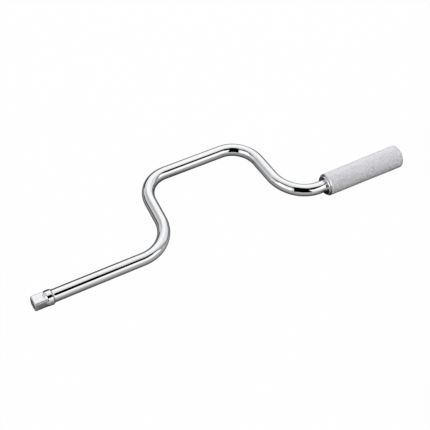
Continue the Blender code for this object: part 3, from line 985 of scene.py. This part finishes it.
def under_sheet(name):
    """The sheet, a grid that is fine near the brace and wide far away, shaded at each point."""
    nearest = bar_middle()
    columns, rows = SHEET_GRID
    points = []
    shades = []
    for row in range(rows + 1):
        for column in range(columns + 1):
            u = 2 * column / columns - 1
            v = 2 * row / rows - 1
            x = SHEET_CENTRE[0] + SHEET_REACH[0] * u + SHEET_SPREAD[0] * u**SHEET_EASING
            y = SHEET_CENTRE[1] + SHEET_REACH[1] * v + SHEET_SPREAD[1] * v**SHEET_EASING
            points.append(floor_point(x, y, SHEET_LIFT))
            place, _, distance = nearest.find((x, y, 0))
            shades.append(sheet_shade(x, y, place, distance))
    sheet = mesh_piece(name, points, grid_faces(columns, rows))
    attribute = sheet.data.attributes.new("shade", "FLOAT", "POINT")
    attribute.data.foreach_set("value", shades)
    material, output, wire = bare_stage(name)
    shade = wire.node("ShaderNodeAttribute", {"attribute_name": "shade"}, None, "Fac")
    colour = shade.blend(BLACK, SHEET_TINT)
    shade.node("ShaderNodeEmission", None, {"Color": colour}).feed(output, "Surface")
    sheet.data.materials.append(material)
    chrome_only(sheet)


under_sheet("under_sheet")

# Light tent: white cloth all round the brace, with bright windows and dark gaps.
# Only the chrome sees it. Directions are in degrees: 0 is +Y, 90 is +X, and upwards is above 0.
TENT_CENTRE = (230, 40, 0)
TENT_RADIUS = 2000
TENT_GRID = (48, 24)
TENT_WHITE = (0.84, 0.84, 0.845)
# Each panel has a name, its reach around and upwards, the softness of its edge, and its colour.
TENT_PANELS = [
    ("back left cloth", (344, 364), (10, 66), 6, (0.87, 0.87, 0.875)),
    ("left cloth", (286, 350), (-40, 60), 7, (0.68, 0.68, 0.685)),
    ("left fold", (298, 344), (31, 50), 8, (0.49, 0.49, 0.50)),
    ("left skirting", (296, 324), (-40, 8), 5, (0.02, 0.02, 0.025)),
    ("back skirting", (339, 362), (-40, 13), 5, (0.0, 0.0, 0.0)),
    ("back window", (362, 422), (10, 66), 6, (1.08, 1.08, 1.085)),
    ("back floor", (359, 380), (-40, 15), 10, (0.05, 0.05, 0.06)),
    ("right skirting", (48, 114), (-40, 14), 9, (0.17, 0.17, 0.18)),
    ("right wall", (102, 124), (8, 80), 5, (0.38, 0.38, 0.40)),
    ("front right sill", (118, 182), (-40, 14), 8, (0.50, 0.49, 0.48)),
    ("front right window", (123, 182), (14, 50), 4, (1.16, 1.15, 1.12)),
    ("front left sill", (213, 276), (-40, 9), 6, (0.36, 0.36, 0.36)),
    ("front left window", (225, 271), (9, 55), 4, (1.16, 1.15, 1.12)),
    ("left roof gap", (206, 300), (58, 82), 4, (0.15, 0.15, 0.16)),
    ("left curtain", (270, 299), (43, 57), 4, (0.15, 0.15, 0.16)),
    ("window edge", (168, 184), (3, 26), 10, (0.80, 0.79, 0.77)),
    ("right roof gap", (108, 138), (51, 69), 2, (0.0, 0.0, 0.0)),
    ("front roof gap", (132, 218), (49, 84), 2, (0.0, 0.0, 0.0)),
    ("front roof slit", (119, 150), (76, 87), 2, (0.0, 0.0, 0.0)),
    ("front valance", (150, 218), (46, 56), 2, (0.0, 0.0, 0.0)),
    ("lens gap", (176, 219), (4, 66), 2, (0.0, 0.002, 0.001)),
]


def tent(name):
    """The tent's cloth as one ball, whose panels are told apart by their direction."""
    columns, rows = TENT_GRID
    points = []
    for row in range(rows + 1):
        rise = math.pi * (row / rows - 0.5)
        for column in range(columns + 1):
            turn = math.tau * column / columns
            level = math.cos(rise)
            away = Vector((level * math.sin(turn), level * math.cos(turn), math.sin(rise)))
            points.append(Vector(TENT_CENTRE) + TENT_RADIUS * away)
    ball = mesh_piece(name, points, grid_faces(columns, rows))
    material, output, wire = bare_stage(name)
    spot = wire.node("ShaderNodeNewGeometry", None, None, "Position")
    centre = [value * MM for value in TENT_CENTRE]
    across = spot.axis("X") - centre[0]
    ahead = spot.axis("Y") - centre[1]
    upwards = spot.axis("Z") / (TENT_RADIUS * MM)
    rise = upwards.maths("ARCSINE", upwards) * math.degrees(1)
    turn = across.maths("ARCTAN2", across, ahead) * math.degrees(1)
    colour = (*TENT_WHITE, 1)
    for _, turns, rises, softness, shade in TENT_PANELS:
        middle = (turns[0] + turns[1]) / 2
        reach = (turns[1] - turns[0]) / 2
        apart = turn.maths("ABSOLUTE", turn.maths("WRAP", turn - middle, 180.0, -180.0))
        soft = softness / 2
        sides = 1 - apart.between(reach - soft, reach + soft)
        foot = rise.between(rises[0] - soft, rises[0] + soft)
        top = 1 - rise.between(rises[1] - soft, rises[1] + soft)
        colour = (sides * foot * top).blend(colour, (*shade, 1))
    colour.node("ShaderNodeEmission", None, {"Color": colour}).feed(output, "Surface")
    ball.data.materials.append(material)
    chrome_only(ball)


tent("light_tent")

# Studio light: an even white room, and a large soft box above the far side of the brace.
# The camera sees the room as white, and the metal has the tent around it instead.
ROOM_LIGHT = 0.62
BOX_SIZE = (1.7, 1.3)
BOX_WATTS = 8.5
BOX_COLOUR = (0.985, 0.985, 1.0)
BOX_PLACE = Vector((0.75, 1.05, 1.55))
BOX_AIM = Vector((0.23, 0.04, 0))


def white_room(name):
    """A white background, and an even light that is a little lower."""
    world = bpy.data.worlds.new(name)
    world.use_nodes = True
    bpy.context.scene.world = world
    tree = world.node_tree
    tree.nodes.clear()
    path = tree.nodes.new("ShaderNodeLightPath")
    seen = seen_as_backdrop(Wire(tree, path.outputs["Is Camera Ray"]))
    room = seen.node("ShaderNodeBackground", None, {"Color": WHITE, "Strength": ROOM_LIGHT})
    backdrop = seen.node("ShaderNodeBackground", None, {"Color": WHITE, "Strength": 1.0})
    mixed = seen.node("ShaderNodeMixShader", None, {0: seen, 1: room, 2: backdrop})
    mixed.feed(tree.nodes.new("ShaderNodeOutputWorld"), "Surface")


white_room("white_room")
soft_box_light = bpy.data.lights.new("soft_box", "AREA")
soft_box_light.shape = "RECTANGLE"
soft_box_light.size, soft_box_light.size_y = BOX_SIZE
soft_box_light.energy = BOX_WATTS
soft_box_light.color = BOX_COLOUR
soft_box = bpy.data.objects.new("soft_box", soft_box_light)
bpy.context.scene.collection.objects.link(soft_box)
soft_box.location = BOX_PLACE
soft_box.rotation_euler = (BOX_AIM - BOX_PLACE).to_track_quat("-Z", "Y").to_euler()
soft_box.visible_glossy = False

# Camera: above and in front of the drive end, where the photograph was taken from.
# It looks down at about 52 degrees and is rolled a little.
CAMERA_PLACE = Vector((-0.185485, -0.530524, 0.867753))
CAMERA_FORWARD = Vector((0.368879, 0.496504, -0.785756))
CAMERA_RIGHT = Vector((0.862783, -0.497360, 0.090768))
CAMERA_LENS = 84.737
CAMERA_SENSOR = 36.0
camera_data = bpy.data.cameras.new("camera")
camera_data.sensor_width = CAMERA_SENSOR
camera_data.lens = CAMERA_LENS
camera = bpy.data.objects.new("camera", camera_data)
bpy.context.scene.collection.objects.link(camera)
camera_up = CAMERA_RIGHT.cross(CAMERA_FORWARD)
facing = Matrix((CAMERA_RIGHT, camera_up, -CAMERA_FORWARD)).transposed()
camera.matrix_world = Matrix.Translation(CAMERA_PLACE) @ facing.to_4x4()
bpy.context.scene.camera = camera
bpy.context.scene.view_settings.view_transform = "Standard"
